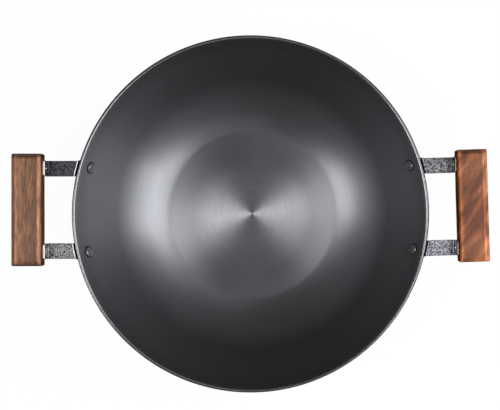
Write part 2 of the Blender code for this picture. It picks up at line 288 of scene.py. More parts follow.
def apply_modifier(piece, kind, settings):
    """Adds a modifier with its settings and applies it."""
    activate(piece)
    modifier = piece.modifiers.new(kind.lower(), kind)
    for name, value in settings.items():
        setattr(modifier, name, value)
    bpy.ops.object.modifier_apply(modifier=modifier.name)


def select_edges(piece, wanted):
    """In edit mode, selects the edges for which wanted(edge) holds."""
    bpy.ops.mesh.select_mode(type="EDGE")
    bpy.ops.mesh.select_all(action="DESELECT")
    shape = bmesh.from_edit_mesh(piece.data)
    for edge in shape.edges:
        edge.select_set(wanted(edge))
    bmesh.update_edit_mesh(piece.data)


def arc(centre, radius, start, end, steps):
    """Points on a circle, with angles measured from +X towards +Z."""
    angles = (start + (end - start) * step / steps for step in range(steps + 1))
    return [
        (centre[0] + radius * math.cos(angle), centre[1] + radius * math.sin(angle)) for angle in angles
    ]


@contextmanager
def editing(piece):
    """Edit mode, on the piece alone."""
    activate(piece)
    bpy.ops.object.mode_set(mode="EDIT")
    yield
    bpy.ops.object.mode_set(mode="OBJECT")


def spun(name, profile, steps):
    """Draws (radius, height) points by extruding a vertex, and spins the line round Z into a solid."""
    deselect()
    bpy.ops.mesh.primitive_plane_add(size=START, location=(0, 0, 0))
    piece = bpy.context.object
    piece.name = piece.data.name = name
    with editing(piece):
        bpy.ops.mesh.select_mode(type="VERT")
        bpy.ops.mesh.select_all(action="SELECT")
        bpy.ops.mesh.merge(type="CENTER")
        bpy.ops.transform.translate(value=(profile[0][0], 0, profile[0][1]))
        for here, there in zip(profile, profile[1:]):
            step = (there[0] - here[0], 0, there[1] - here[1])
            bpy.ops.mesh.extrude_region_move(TRANSFORM_OT_translate={"value": step})
        bpy.ops.mesh.select_all(action="SELECT")
        bpy.ops.mesh.spin(steps=steps, angle=math.tau, center=(0, 0, 0), axis=(0, 0, 1))
        bpy.ops.mesh.select_all(action="SELECT")
        bpy.ops.mesh.remove_doubles(threshold=WELD)
        bpy.ops.mesh.normals_make_consistent(inside=False)
    return piece


def bake_place(piece, matrix):
    """Moves the piece by the matrix and puts its place into its mesh."""
    activate(piece)
    piece.matrix_world = matrix @ piece.matrix_world
    bpy.ops.object.transform_apply(location=True, rotation=True, scale=True)


def copy_of(piece, name):
    """A copy of the piece with its own mesh."""
    activate(piece)
    bpy.ops.object.duplicate(linked=False)
    copy = bpy.context.object
    copy.name = copy.data.name = name
    return copy


def remove(piece):
    """Takes a tool object out of the scene."""
    activate(piece)
    bpy.ops.object.delete()


def cut(piece, cutter):
    """Takes the cutter's shape out of the piece."""
    apply_modifier(piece, "BOOLEAN", {"operation": "DIFFERENCE", "solver": "EXACT", "object": cutter})


def finish_piece(piece, node, slot, *materials):
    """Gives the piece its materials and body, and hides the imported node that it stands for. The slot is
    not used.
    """
    piece.data.materials.clear()
    for material in materials:
        piece.data.materials.append(material)
    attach(piece, BODY)
    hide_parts(node)


def shade(piece, degrees):
    """Smooth, but for edges that turn further than this."""
    activate(piece)
    bpy.ops.object.shade_smooth_by_angle(angle=math.radians(degrees))


def dent(piece, texture, depth):
    """Lowers the surface by up to this depth, where the texture is dark."""
    apply_modifier(
        piece, "DISPLACE",
        {"texture": texture, "texture_coords": "LOCAL", "mid_level": 1.0, "strength": depth},
    )


def add_node(tree, kind, inputs=(), **settings):
    """Adds a node with its settings and inputs.

    The inputs are given by name, or in the order of those that the settings leave in use. Each is a
    value, a socket, or a node whose first output in use is linked. A ramp's stops are (place, colour).
    """
    node = tree.nodes.new("ShaderNode" + kind)
    for name, value in settings.items():
        if name == "stops":
            for extra in value[2:]:
                node.color_ramp.elements.new(extra[0])
            for element, (position, tone) in zip(node.color_ramp.elements, value):
                element.position = position
                element.color = tone
        else:
            setattr(node, name, value)
    if not isinstance(inputs, dict):
        inputs = dict(zip((place for place, socket in enumerate(node.inputs) if socket.enabled), inputs))
    for name, value in inputs.items():
        if isinstance(value, bpy.types.Node):
            value = next(socket for socket in value.outputs if socket.enabled)
        if isinstance(value, bpy.types.NodeSocket):
            tree.links.new(value, node.inputs[name])
        else:
            node.inputs[name].default_value = value
    return node


def emptied(owner):
    """Empties a material's or world's node tree, and gives what adds nodes to it."""
    owner.use_nodes = True
    owner.node_tree.nodes.clear()
    return partial(add_node, owner.node_tree)


def new_material(name):
    """A material, what adds nodes to it, and the place on the piece, which its patterns follow."""
    material = bpy.data.materials.new(name)
    add = emptied(material)
    return material, add, add("TexCoord").outputs["Object"]


def graded(add, value, stops):
    """A value that follows (place, value) stops along another value, such as a length."""
    first, last = stops[0][0], stops[-1][0]
    share = add("MapRange", {"Value": value, "From Min": first, "From Max": last})
    greys = [((place - first) / (last - first), (level, level, level, 1.0)) for place, level in stops]
    return add("ValToRGB", [share], stops=greys)


def mottled(add, place, spacing, low, high, detail=2.0, roughness=0.6):
    """A value that wanders between low and high, with this spacing."""
    noise = add(
        "TexNoise", {"Vector": place, "Scale": 1 / spacing, "Detail": detail, "Roughness": roughness}
    )
    # Nearly all of a noise lies between 0.3 and 0.7
    return graded(add, noise, ((0.3, low), (0.7, high)))


def hard_anodised_aluminium(sizes):
    """Hard-anodised aluminium, spun and turned on a lathe.

    The fine grooves round the bowl draw every reflection out across them: two bright fans on the flat
    base, and a soft bright crescent on each side of the curve. The wall is duller, and its grey is
    painted darker as painted shade that dims its reflections.
    """
    material, add, place = new_material("hard_anodised_aluminium_turned")
    flat = add("VectorMath", [place, (1, 1, 0)], operation="MULTIPLY")
    radial = add("VectorMath", [flat], operation="NORMALIZE")
    radius = add("VectorMath", [flat], operation="LENGTH")
    height = add("SeparateXYZ", [place]).outputs["Z"]
    run = add("Math", [radius, height], operation="ADD")
    # Real feed marks lie about 0.3 mm apart, too fine to show, so they are drawn 1.4 mm apart
    across = add("Math", [run, 1 / 0.0014], operation="MULTIPLY")
    # Each mark is an arc that fades in and out on its way round
    around = add("VectorMath", [radial, 2.6], operation="SCALE")
    bearing = add("SeparateXYZ", [around]).outputs
    polar = add("CombineXYZ", [across, bearing["X"], bearing["Y"]])
    rings = add("TexNoise", {"Vector": polar, "Scale": 1.0, "Detail": 2.0, "Roughness": 0.6})
    # The marks fade outwards, where the spinning roller has smoothed them
    strength = graded(add, radius, ((0.030, 1.0), (0.060, 0.4)))
    centred = add("Math", [rings, 0.5], operation="SUBTRACT")
    faded = add("Math", [centred, strength], operation="MULTIPLY")
    # Faint clouds of oxide, a few centimetres across
    clouds = add("TexNoise", {"Vector": place, "Scale": 1 / 0.035, "Detail": 3.0, "Roughness": 0.55})
    cloudy = add("Math", [clouds, 0.16, 0.92], operation="MULTIPLY_ADD")
    uneven = add("Math", [faded, 0.46, cloudy], operation="MULTIPLY_ADD")
    # Painted shade: the grey darkens over the last few millimetres under the rim
    shade_under_rim = graded(add, radius, ((0.1560, 1.0), (0.1640, 0.82)))
    toned = add("Math", [uneven, shade_under_rim], operation="MULTIPLY")
    # Painted shade: the grey darkens from the turned middle out to the wall
    thin = graded(
        add, radius,
        (
            (0.004, 1.0), (0.025, 0.98), (0.061, 0.45), (0.079, 0.55), (0.101, 0.56), (0.118, 0.43),
            (0.1345, 0.0),
        ),
    )
    oxide = add("Mix", [thin, sizes.oxide, sizes.anodised], data_type="RGBA")
    shaded = add("VectorMath", [oxide, toned], operation="SCALE")
    dull = graded(
        add, radius, ((0.025, 0.448), (0.061, 0.285), (0.080, 0.30), (0.101, 0.335), (0.1345, 0.45))
    )
    dents = add("Bump", {"Height": faded, "Strength": 1.0, "Distance": 0.000013})
    shader = add(
        "BsdfPrincipled",
        {
            "Base Color": shaded, "Metallic": 0.88, "Roughness": dull, "Anisotropic": 0.89,
            "Tangent": radial, "Normal": dents,
        },
    )
    add("OutputMaterial", [shader])
    return material


def turned_land(sizes):
    """Hard-anodised aluminium on the rim's narrow land, turned last and sharpest: a thin bright line."""
    material, add, place = new_material("hard_anodised_rim_land")
    flat = add("VectorMath", [place, (1, 1, 0)], operation="MULTIPLY")
    radial = add("VectorMath", [flat], operation="NORMALIZE")
    worn = mottled(add, place, 0.004, 0.8, 1.15, detail=3.0)
    shaded = add("VectorMath", [sizes.land[:3], worn], operation="SCALE")
    shader = add(
        "BsdfPrincipled",
        {"Base Color": shaded, "Metallic": 0.9, "Roughness": 0.22, "Anisotropic": 0.8, "Tangent": radial},
    )
    add("OutputMaterial", [shader])
    return material


def shaded_rim_edge(sizes):
    """Hard-anodised aluminium on the rim's rounded outer edge, painted nearly black and matt as painted
    shade.
    """
    material, add, place = new_material("hard_anodised_aluminium_edge")
    dull = mottled(add, place, 0.003, 0.5, 0.65, detail=3.0)
    shader = add(
        "BsdfPrincipled", {"Base Color": sizes.rounding, "Roughness": dull, "Specular IOR Level": 0.15}
    )
    add("OutputMaterial", [shader])
    return material


def galvanised_steel(sizes, name, light, dark, rise, veined, highlight_share, dim_from, dim_to):
    """Mild steel, hot-dip galvanised.

    Zinc that froze round specks of oxide gives a mottle of dark cells between bright veins. Faces are
    painted darker the more they tilt from level, a painted shade that keeps the folds dark, and a pale
    painted highlight lies on the crest of the fold beside the rim. The rise is how far from the middle
    plane the strap turns up against its grip, where painted shade darkens the corner between the two
    heights over the rim.
    """
    material, add, place = new_material(name)
    # The zinc ran down the upturned end as it froze, which stretched its cells
    run = add("VectorMath", [place, (1, 1, 0.4)], operation="MULTIPLY")
    wobble = add("TexNoise", {"Vector": run, "Scale": 1 / 0.002, "Detail": 1.0}).outputs["Color"]
    wandering = add("VectorMath", [wobble, (0.0012,) * 3, run], operation="MULTIPLY_ADD")
    cells = add(
        "TexVoronoi", {"Vector": wandering, "Scale": 1 / sizes.vein_spacing, "Randomness": 1.0},
        feature="DISTANCE_TO_EDGE",
    )
    vein = graded(add, cells, ((0.02, 1.0), (0.2, 0.0)))
    specks = add(
        "TexNoise", {"Vector": run, "Scale": 1 / sizes.speck_spacing, "Detail": 2.0, "Roughness": 0.7}
    )
    mottle = graded(add, specks, ((0.43, 0.0), (0.57, 1.0)))
    blend = add("Mix", [veined, mottle, vein], data_type="FLOAT")
    tone = add("Mix", [blend, dark, light], data_type="RGBA")
    facing = add("NewGeometry").outputs["Normal"]
    tilt = add("SeparateXYZ", [facing]).outputs["Z"]
    where = add("SeparateXYZ", [place]).outputs
    side = add("Math", [where["X"]], operation="ABSOLUTE")
    # Painted shade: faces darken the more they tilt from level, so the folds stay dark
    tilt_shade = graded(add, tilt, ((0.84, 0.1), (0.94, 1.0)))
    upturned = graded(add, side, ((rise - UPTURN, 0.0), (rise - UPTURN + 0.001, 1.0)))
    # Painted shade in the corner against the grip, between the two heights over the rim
    corner_shade = graded(add, where["Z"], ((RIM_HEIGHT + dim_from, 1.0), (RIM_HEIGHT + dim_to, CORNER_SHADE_LEVEL)))
    share = add("Mix", [upturned, tilt_shade, corner_shade], data_type="FLOAT")
    shaded = add("VectorMath", [tone, share], operation="SCALE")
    # Painted highlight: a pale line on the crest of the fold beside the rim
    crest = graded(add, tilt, ((0.88, 0.0), (0.93, highlight_share), (0.945, highlight_share), (0.985, 0.0)))
    beside_rim = graded(add, side, ((rise - 0.009, 1.0), (rise - 0.008, 0.0)))
    highlight_mask = add("Math", [crest, beside_rim], operation="MULTIPLY")
    worn = add("Mix", [highlight_mask, shaded, sizes.crest_highlight], data_type="RGBA")
    dents = add("Bump", {"Height": specks, "Strength": 0.5, "Distance": 0.0002})
    shader = add(
        "BsdfPrincipled", {"Base Color": worn, "Metallic": 0.75, "Roughness": 0.36, "Normal": dents}
    )
    add("OutputMaterial", [shader])
    return material


def sheared_steel(sizes):
    """The strap's end as the shears left it: matt zinc with fine scratches across, painted pale as a painted
    highlight.
    """
    material, add, place = new_material("sheared_steel_pale")
    worn = mottled(add, place, 0.0015, 0.86, 1.0)
    shaded = add("VectorMath", [sizes.sheared[:3], worn], operation="SCALE")
    shader = add("BsdfPrincipled", {"Base Color": shaded, "Metallic": 0.1, "Roughness": 0.5})
    add("OutputMaterial", [shader])
    return material


def oiled_wood(
    name, gloss, square, tones, tint, centre, turn, stretch, band, wander, finest, pit, across, along
):
    """Acacia, sanded and finished with oil.

    Streaks of early and late wood and dark pores run with the grain. The oil gives a soft gloss on top.
    The tones across and along the grip paint light on it: painted highlights along the crests, and
    painted shade on the sides and ends. The bands wander by the length wander, finest is the noise's
    detail in them, and pit is how dark a pore is. The tones across and along the grip are (place, value)
    stops from its middle, and square is how far the grip is turned.
    """
    material, add, place = new_material(name)
    grain = add(
        "Mapping", {"Vector": place, "Location": centre, "Rotation": turn, "Scale": (1, stretch, 1)},
        vector_type="TEXTURE",
    )
    bend = add("TexNoise", {"Vector": grain, "Scale": 1 / 0.02, "Detail": 2.0}).outputs["Color"]
    wavy = add("VectorMath", [bend, (wander,) * 3, grain], operation="MULTIPLY_ADD")
    bands = add("TexNoise", {"Vector": wavy, "Scale": 1 / band, "Detail": finest, "Roughness": 0.5})
    tone = add("ValToRGB", [bands], stops=list(zip((0.36, 0.5, 0.64), tones)))
    streaks = add(
        "TexNoise", {"Vector": wavy, "W": 3.0, "Scale": 1 / band, "Detail": 1.0}, noise_dimensions="4D"
    )
    tinted = graded(add, streaks, ((0.48, 0.0), (0.66, 0.7)))
    wood = add("Mix", [tinted, tone, tint], data_type="RGBA")
    # Pores of about 0.2 mm, drawn as spots of about 0.7 mm so that they show
    pores = add("TexNoise", {"Vector": grain, "Scale": 1 / 0.0012, "Detail": 2.0, "Roughness": 0.7})
    pitted = graded(add, pores, ((0.34, pit), (0.62, 1.2)))
    own = add(
        "Mapping", {"Vector": place, "Location": centre, "Rotation": (0, 0, square)}, vector_type="TEXTURE"
    )
    spot = add("SeparateXYZ", [own]).outputs
    # Painted light: highlights on the crests and shade on the sides and ends, by the place across and along
    # the grip
    painted_light = add(
        "Math", [graded(add, spot["X"], across), graded(add, spot["Y"], along)], operation="MULTIPLY"
    )
    share = add("Math", [pitted, painted_light], operation="MULTIPLY")
    shaded = add("VectorMath", [wood, share], operation="SCALE")
    dents = add("Bump", {"Height": pores, "Strength": 0.5, "Distance": 0.0002})
    shader = add(
        "BsdfPrincipled",
        {
            "Base Color": shaded, "Roughness": 0.34, "IOR": 1.5, "Specular IOR Level": gloss,
            "Normal": dents,
        },
    )
    add("OutputMaterial", [shader])
    return material


def anodised_rivet(sizes):
    """Anodised aluminium, cold-headed: the wall's grey, with a thin glint along the rounded shoulder."""
    material, add, place = new_material("anodised_aluminium_rivet")
    mottle = add("TexNoise", {"Vector": place, "Scale": 1 / 0.0012, "Detail": 3.0, "Roughness": 0.6})
    dull = graded(add, mottle, ((0.3, 0.17), (0.7, 0.26)))
    dents = add("Bump", {"Height": mottle, "Strength": 0.3, "Distance": 0.00005})
    shader = add(
        "BsdfPrincipled",
        {"Base Color": sizes.anodised, "Metallic": 0.5, "Roughness": dull, "Normal": dents},
    )
    add("OutputMaterial", [shader])
    return material


def rivet_seat_shade(sizes):
    """Painted shade in the corner round a rivet's head: a matt, nearly black outline."""
    material, add, place = new_material("sooted_oxide_seat")
    uneven = mottled(add, place, 0.0015, 0.6, 1.6)
    shaded = add("VectorMath", [sizes.seat[:3], uneven], operation="SCALE")
    shader = add("BsdfPrincipled", {"Base Color": shaded, "Roughness": 0.7, "Specular IOR Level": 0.15})
    add("OutputMaterial", [shader])
    return material


def zinc_plated_steel(sizes):
    """Bright zinc plating on a steel screw, slightly clouded."""
    material, add, place = new_material("zinc_plated_steel_screw")
    dull = mottled(add, place, 0.0015, 0.2, 0.35, roughness=0.5)
    shader = add("BsdfPrincipled", {"Base Color": sizes.zinc, "Metallic": 1.0, "Roughness": dull})
    add("OutputMaterial", [shader])
    return material


def white_floor(sizes):
    """White paper, which shows white to the camera, in gloss and through glass, and keeps a faint shadow.

    From below it is see-through, so that the wok's underside shows.
    """
    material = bpy.data.materials.new("white_paper_floor")
    add = emptied(material)
    ray = add("LightPath").outputs
    seen = add("Math", [ray["Is Camera Ray"], ray["Is Glossy Ray"]], operation="ADD", use_clamp=True)
    through = add("Math", [seen, ray["Is Transmission Ray"]], operation="ADD", use_clamp=True)
    # A little of the paper's own shade stays, which keeps the wok's shadow
    share = add("Math", [through, 0.97], operation="MULTIPLY")
    paper = add("BsdfDiffuse", {"Color": sizes.floor})
    glow = add("Emission", {"Color": (1, 1, 1, 1), "Strength": 1.0})
    shader = add("MixShader", [share, paper, glow])
    below = add("NewGeometry").outputs["Backfacing"]
    one_sided = add("MixShader", [below, shader, add("BsdfTransparent")])
    add("OutputMaterial", [one_sided])
    return material


def white_background(sizes):
    """A dim room round the wok, with a white backdrop.

    The camera sees the backdrop all round. Gloss sees it only up to a little over the floor's far edge,
    because over the bowl hang the lamps and the dark ceiling that its metal mirrors in the photograph.
    """
    world = bpy.data.worlds.new("dim_room_white_backdrop")
    add = emptied(world)
    ray = add("LightPath").outputs
    direction = add("TexCoord").outputs["Generated"]
    rise = add("SeparateXYZ", [direction]).outputs["Z"]
    low = graded(add, rise, ((0.04, 1.0), (0.08, 0.0)))
    gloss = add("Math", [ray["Is Glossy Ray"], low], operation="MULTIPLY")
    through = add(
        "Math", [ray["Is Camera Ray"], ray["Is Transmission Ray"]], operation="ADD", use_clamp=True
    )
    share = add("Math", [through, gloss], operation="ADD", use_clamp=True)
    seen = add("Mix", [share, sizes.room, (1, 1, 1, 1)], data_type="RGBA")
    glow = add("Background", {"Color": seen, "Strength": 1.0})
    add("OutputWorld", [glow])
    return world


BOWL_STEPS = 256
KNUCKLE_STEPS = 24
EDGE_STEPS = 6
RIM_SEGMENTS = 8
CREST_SEGMENTS = 5
RIVET_STEPS = 48
SCREW_STEPS = 32
DOME_STEPS = 8
SANDED_SEGMENTS = 3
FLOOR_STEPS = 96
FLOOR_RADIUS = 30
FLOOR_DROP = 0.0003  # below the wok's base
SENSOR_WIDTH = 36  # millimetres


def bowl_profile(sizes):
    """From the middle of the inner base up to the rim and down the outer side to the middle."""
    slope = sizes.wall_slope
    down = -math.pi / 2
    outer_centre = (sizes.base_radius, sizes.gauge + sizes.knuckle_radius)
    outside = arc(outer_centre, sizes.knuckle_radius + sizes.gauge, down + slope, down, KNUCKLE_STEPS)
    # Inside, a short tight curve and a long easy one lead from the turned flat to the same straight wall
    tight, turn = sizes.edge_radius, sizes.edge_turn
    to_wall = math.sin(slope) * (sizes.base_radius - sizes.flat_radius)
    to_wall += sizes.knuckle_radius * (1 - math.cos(slope))
    to_wall -= tight * (math.cos(slope - turn) - math.cos(slope))
    easy = to_wall / (1 - math.cos(slope - turn))
    foot = (sizes.flat_radius, sizes.gauge + tight)
    joined = (foot[0] - (easy - tight) * math.sin(turn), foot[1] + (easy - tight) * math.cos(turn))
    inside = arc(foot, tight, down, down + turn, EDGE_STEPS)
    inside += arc(joined, easy, down + turn, down + slope, KNUCKLE_STEPS)[1:]
    round_centre = (RIM_RADIUS - sizes.rim_round, RIM_HEIGHT - sizes.rim_round)
    rounding = arc(round_centre, sizes.rim_round, math.pi / 2, down + slope, RIM_SEGMENTS)
    bands = round((RIM_HEIGHT - inside[-1][1]) / sizes.ring_step)
    # The flat base needs only a third as many bands as the wall
    base_bands = round(sizes.base_radius / (3 * sizes.ring_step))
    floor = [(sizes.flat_radius * step / base_bands, sizes.gauge) for step in range(base_bands)]
    under = [(sizes.base_radius * step / base_bands, 0.0) for step in range(base_bands - 1, -1, -1)]
    lip = inner_lip(sizes)
    wall_in = between(inside[-1], lip, bands)
    wall_out = between(rounding[-1], outside[0], bands)
    return floor + inside + wall_in + [lip] + rounding + wall_out + outside + under


def inner_lip(sizes):
    """Radius and height of the rim's inner edge."""
    corner = RIM_RADIUS + sizes.rim_round * (1 / math.tan(sizes.wall_slope / 2) - 1)
    return corner - sizes.gauge / math.sin(sizes.wall_slope), RIM_HEIGHT - sizes.land_fall


def between(start, end, steps):
    """Points that part a straight line into equal steps, without its two ends."""
    shares = [step / steps for step in range(1, steps)]
    return [
        (start[0] + (end[0] - start[0]) * share, start[1] + (end[1] - start[1]) * share) for share in shares
    ]


def on_ring(edge, radius, height):
    """True for an edge that lies on the circle of this radius and height."""
    return all(
        abs(math.hypot(point.co.x, point.co.y) - radius) < NEAR and abs(point.co.z - height) < NEAR
        for point in edge.verts
    )


def rivet_matrices(bowl, rivet):
    """Where each rivet sits: its +Z square to the wall and into the bowl, its origin on the inner face."""
    seat_radius = inner_lip(bowl)[0] - rivet.drop / math.tan(bowl.wall_slope)
    seat = Matrix.Translation((seat_radius, 0, RIM_HEIGHT - rivet.drop))
    tilt = Matrix.Rotation(-bowl.wall_slope, 4, "Y")
    places = {}
    for corner in CORNERS:
        middle = node_middle("rivet_" + corner)
        places[corner] = Matrix.Rotation(math.atan2(middle.y, middle.x), 4, "Z") @ seat @ tilt
    return places


def screw_matrices():
    """Where each screw sits: its +Z out of the grip towards the bowl, its origin on the head's face."""
    places = {}
    for side, facing in zip(SIDES, (-1, 1)):
        front, rear = (node_middle("screw_" + side + "_" + end) for end in ENDS)
        along_grip = (rear - front).normalized()
        out = facing * Vector((along_grip.y, -along_grip.x, 0))
        turn = Matrix((out.cross(along_grip).cross(out), out.cross(-along_grip), -out)).transposed()
        for end in ENDS:
            node = frame["nodes"]["screw_" + side + "_" + end]
            reach = min(vertex.co.dot(out) for vertex in node.data.vertices)
            middle = node_middle("screw_" + side + "_" + end)
            face = middle + out * (reach - middle.dot(out))
            places[side + "_" + end] = Matrix.Translation(face) @ turn.to_4x4()
    return places


class WOK_OT_bowl(bpy.types.Operator):
    """Spins the bowl, rounds its rim and drills its rivet holes"""

    bl_idname = "wok.bowl"
    bl_label = "Bowl"
    bl_options = {"REGISTER", "UNDO"}

    def execute(self, context):
        sizes = context.scene.wok_bowl
        rivet = context.scene.wok_rivet
        bowl = spun("spun_bowl", bowl_profile(sizes), BOWL_STEPS)
        lip = inner_lip(sizes)
        with editing(bowl):
            select_edges(bowl, lambda edge: on_ring(edge, *lip))
            bpy.ops.mesh.bevel(offset=sizes.rim_break, offset_type="OFFSET", segments=1)
        radius = rivet.shank_radius + rivet.clearance
        bore = [(0, sizes.gauge), (radius, sizes.gauge), (radius, -2 * sizes.gauge), (0, -2 * sizes.gauge)]
        for matrix in rivet_matrices(sizes, rivet).values():
            drill = spun("drill", bore, RIVET_STEPS)
            bake_place(drill, matrix)
            cut(bowl, drill)
            remove(drill)
        shade(bowl, 30)
        finish_piece(
            bowl, "bowl", "anodised_aluminium",
            hard_anodised_aluminium(sizes), turned_land(sizes), shaded_rim_edge(sizes),
        )
        # Painted shade: the rim's rounding down to here gets the nearly black edge material
        rim_shade_from = RIM_HEIGHT - RIM_SHADE_REACH * sizes.rim_round
        for face in bowl.data.polygons:
            radius = math.hypot(face.center.x, face.center.y)
            if face.center.z > lip[1] and face.normal.z > LEVEL:
                face.material_index = 1
            elif radius > RIM_RADIUS - sizes.rim_round and face.center.z > rim_shade_from:
                face.material_index = 2
        return {"FINISHED"}


# For each strap: share of veins, strength of the painted highlight line, and the heights over the rim where
# painted shade dims it
STRAP_VEINS_AND_PAINTED_LIGHT = {
    "left_front": (0.6, 0.35, 0.002, 0.011),
    "left_rear": (0.2, 0.38, 0.002, 0.011),
    "right_front": (0.45, 0.2, 0.008, 0.020),
    "right_rear": (0.35, 0.0, -0.001, 0.011),
}


class WOK_OT_straps(bpy.types.Operator):
    """Gives the four straps their dented, galvanised surface"""

    bl_idname = "wok.straps"
    bl_label = "Straps"
    bl_options = {"REGISTER", "UNDO"}

    def execute(self, context):
        sizes = context.scene.wok_strap
        sheared = sheared_steel(sizes)
        dents = bpy.data.textures.new("zinc_dents", "VORONOI")
        dents.noise_scale = sizes.dent_spacing
        dents.noise_intensity = 1.0
        for corner in CORNERS:
            strap = copy_of(frame["nodes"]["strap_" + corner], "galvanised_strap_" + corner)
            strap.parent = None
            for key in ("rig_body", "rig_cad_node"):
                del strap[key]
            with editing(strap):
                bpy.ops.mesh.select_all(action="SELECT")
                bpy.ops.mesh.remove_doubles(threshold=WELD)
            apply_modifier(strap, "REMESH", {"mode": "VOXEL", "voxel_size": sizes.grain})
            dent(strap, dents, sizes.dent_depth)
            shade(strap, 80)
            low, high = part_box("strap_" + corner)
            outer = max(-low.x, high.x)
            # Each strap's colours carry part painted light, darker on the rear straps
            light, dark = getattr(sizes, "light_" + corner), getattr(sizes, "dark_" + corner)
            steel = galvanised_steel(
                sizes, "galvanised_steel_" + corner, light, dark, outer - sizes.gauge, *STRAP_VEINS_AND_PAINTED_LIGHT[corner]
            )
            finish_piece(strap, "strap_" + corner, "galvanised_steel", steel, sheared)
            # The painted highlight covers the strap's top end over this width
            bare = sizes.gauge if corner.startswith("left") else RIGHT_HIGHLIGHT_SHARE * sizes.gauge
            for face in strap.data.polygons:
                if face.center.z > high.z - sizes.gauge / 2 and abs(face.center.x) > outer - bare:
                    face.material_index = 1
        return {"FINISHED"}


def chamfered_block(size, sizes, chamfers, crests):
    """A block with its own chamfer on each kind of edge, softened by sanding.

    The chamfers are those along the edges towards -X and +X, and the crests are how much the top's edges
    there are rounded.
    """
    deselect()
    bpy.ops.mesh.primitive_cube_add(size=1, location=(0, 0, 0))
    block = bpy.context.object
    widest = max(sizes.end_chamfer, sizes.corner_chamfer, *chamfers)
    with editing(block):
        bpy.ops.transform.resize(value=size)
        for width, wanted in (
            (sizes.end_chamfer, lambda edge: runs_along(edge, 0)),
            (chamfers[0], lambda edge: runs_along(edge, 1) and edge.verts[0].co.x < 0),
            (chamfers[1], lambda edge: runs_along(edge, 1) and edge.verts[0].co.x > 0),
            (sizes.corner_chamfer, lambda edge: runs_along(edge, 2)),
        ):
            select_edges(block, wanted)
            bpy.ops.transform.edge_bevelweight(value=width / widest)
    apply_modifier(block, "BEVEL", {"width": widest, "segments": 1, "limit_method": "WEIGHT"})
    with editing(block):
        for facing, chamfer, crest in zip((-1, 1), chamfers, crests):
            place = facing * (size[0] / 2 - chamfer)
            select_edges(block, lambda edge, place=place: is_crest(edge, place, size[2] / 2))
            bpy.ops.mesh.bevel(offset=crest, offset_type="OFFSET", segments=CREST_SEGMENTS, profile=0.5)
    apply_modifier(
        block, "BEVEL",
        {
            "width": sizes.softening, "segments": SANDED_SEGMENTS, "limit_method": "ANGLE",
            "angle_limit": math.radians(20),
        },
    )
    return block


def is_crest(edge, place, height):
    """True for an edge along Y at this X and height."""
    return all(abs(point.co.x - place) < NEAR and abs(point.co.z - height) < NEAR for point in edge.verts)


def runs_along(edge, axis):
    """True for an edge that runs along X, Y or Z, which are axes 0, 1 and 2."""
    run = edge.verts[1].co - edge.verts[0].co
    return max(range(3), key=lambda index: abs(run[index])) == axis


def slice_block(block, size, step):
    """Cuts the block's faces into a grid, which the sanding's unevenness then moves."""
    with editing(block):
        for axis in range(3):
            normal = Vector([float(index == axis) for index in range(3)])
            cuts = round(size[axis] / step)
            for place in range(1, cuts):
                bpy.ops.mesh.select_all(action="SELECT")
                at = normal * size[axis] * (place / cuts - 0.5)
                bpy.ops.mesh.bisect(plane_co=at, plane_no=normal)


# Painted light on each grip, by the place across and along it: painted highlights along the chamfers'
# crests, painted shade on the sides and ends
GRIP_PAINTED_LIGHT = {
    "left": {
        "across": (
            (-0.01425, 0.4), (-0.0132, 0.9), (-0.0118, 1.15), (-0.0108, 1.7), (-0.0098, 1.7),
            (-0.0075, 1.3), (-0.0045, 1.08), (0.0, 0.86), (0.0030, 0.88), (0.0060, 0.9), (0.0085, 0.66),
            (0.0096, 0.8), (0.0108, 1.5), (0.0116, 1.85), (0.0125, 1.6), (0.0136, 1.1), (0.01425, 0.3),
        ),
        "along": (
            (-0.053, 0.2), (-0.051, 0.5), (-0.049, 0.95), (0.0, 1.0), (0.0482, 1.0), (0.0495, 0.5),
            (0.053, 0.3),
        ),
    },
    "right": {
        "across": (
            (-0.01425, 0.4), (-0.0138, 1.4), (-0.0130, 2.0), (-0.0118, 2.0), (-0.0108, 1.4),
            (-0.0096, 0.95), (-0.0080, 0.9), (0.0, 1.2), (0.0050, 1.25), (0.0090, 1.2), (0.0098, 2.2),
            (0.0108, 2.2), (0.0114, 1.35), (0.0124, 1.9), (0.0134, 1.9), (0.01425, 1.05),
        ),
        "along": (
            (-0.053, 1.0), (-0.0495, 1.2), (-0.0482, 1.0), (0.0, 1.0), (0.0482, 1.0), (0.0495, 0.6),
            (0.053, 0.45),
        ),
    },
}


